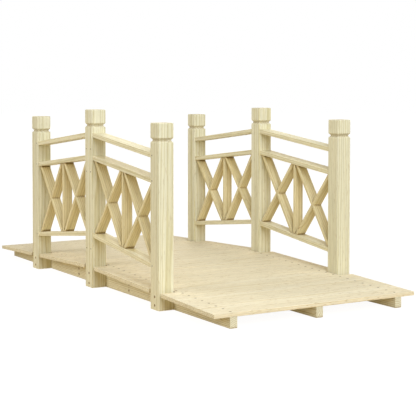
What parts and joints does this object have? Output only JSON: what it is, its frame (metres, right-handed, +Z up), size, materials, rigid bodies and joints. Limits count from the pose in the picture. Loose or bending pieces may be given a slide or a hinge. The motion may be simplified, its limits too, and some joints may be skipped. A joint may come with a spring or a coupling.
{
  "type": "wooden garden footbridge",
  "caption": "Low gabled timber footbridge with a board deck on bearers, grooved-head posts and railings of sloping rails with crossed half-lapped laths, for walking over a small ditch or pond.",
  "frame": {"origin": "on the ground below the middle of the bridge", "axes": "+X along the bridge to its front end, +Y across it, +Z up"},
  "size_m": [1.5, 0.67, 0.555],
  "materials": {
    "post_timber": "planed untreated spruce, satin-matt",
    "rail_timber": "planed untreated spruce, satin-matt",
    "lath_timber": "planed untreated spruce, satin-matt",
    "deck_timber": "planed untreated spruce, satin-matt",
    "bearer_timber": "planed untreated spruce, satin-matt",
    "screw_steel": "zinc-plated steel, dull"
  },
  "bodies": {
    "root": {"bearer_left": "bearer_timber", "bearer_middle": "bearer_timber", "bearer_right": "bearer_timber", "cross_rail_front": "bearer_timber", "cross_rail_rear": "bearer_timber", "deck_front_bay": "deck_timber", "deck_front_end": "deck_timber", "deck_front_posts": "deck_timber", "deck_rear_bay": "deck_timber", "deck_rear_end": "deck_timber", "deck_rear_posts": "deck_timber", "deck_ridge": "deck_timber", "falling_laths_left_front": "lath_timber", "falling_laths_left_rear": "lath_timber", "falling_laths_right_front": "lath_timber", "falling_laths_right_rear": "lath_timber", "lower_rail_left_front": "rail_timber", "lower_rail_left_rear": "rail_timber", "lower_rail_right_front": "rail_timber", "lower_rail_right_rear": "rail_timber", "middle_rail_left_front": "rail_timber", "middle_rail_left_rear": "rail_timber", "middle_rail_right_front": "rail_timber", "middle_rail_right_rear": "rail_timber", "post_left_front": "post_timber", "post_left_middle": "post_timber", "post_left_rear": "post_timber", "post_right_front": "post_timber", "post_right_middle": "post_timber", "post_right_rear": "post_timber", "rising_laths_left_front": "lath_timber", "rising_laths_left_rear": "lath_timber", "rising_laths_right_front": "lath_timber", "rising_laths_right_rear": "lath_timber", "slat_left_front": "lath_timber", "slat_left_rear": "lath_timber", "slat_right_front": "lath_timber", "slat_right_rear": "lath_timber", "top_rail_left_front": "rail_timber", "top_rail_left_rear": "rail_timber", "top_rail_right_front": "rail_timber", "top_rail_right_rear": "rail_timber"}
  },
  "joints": []
}
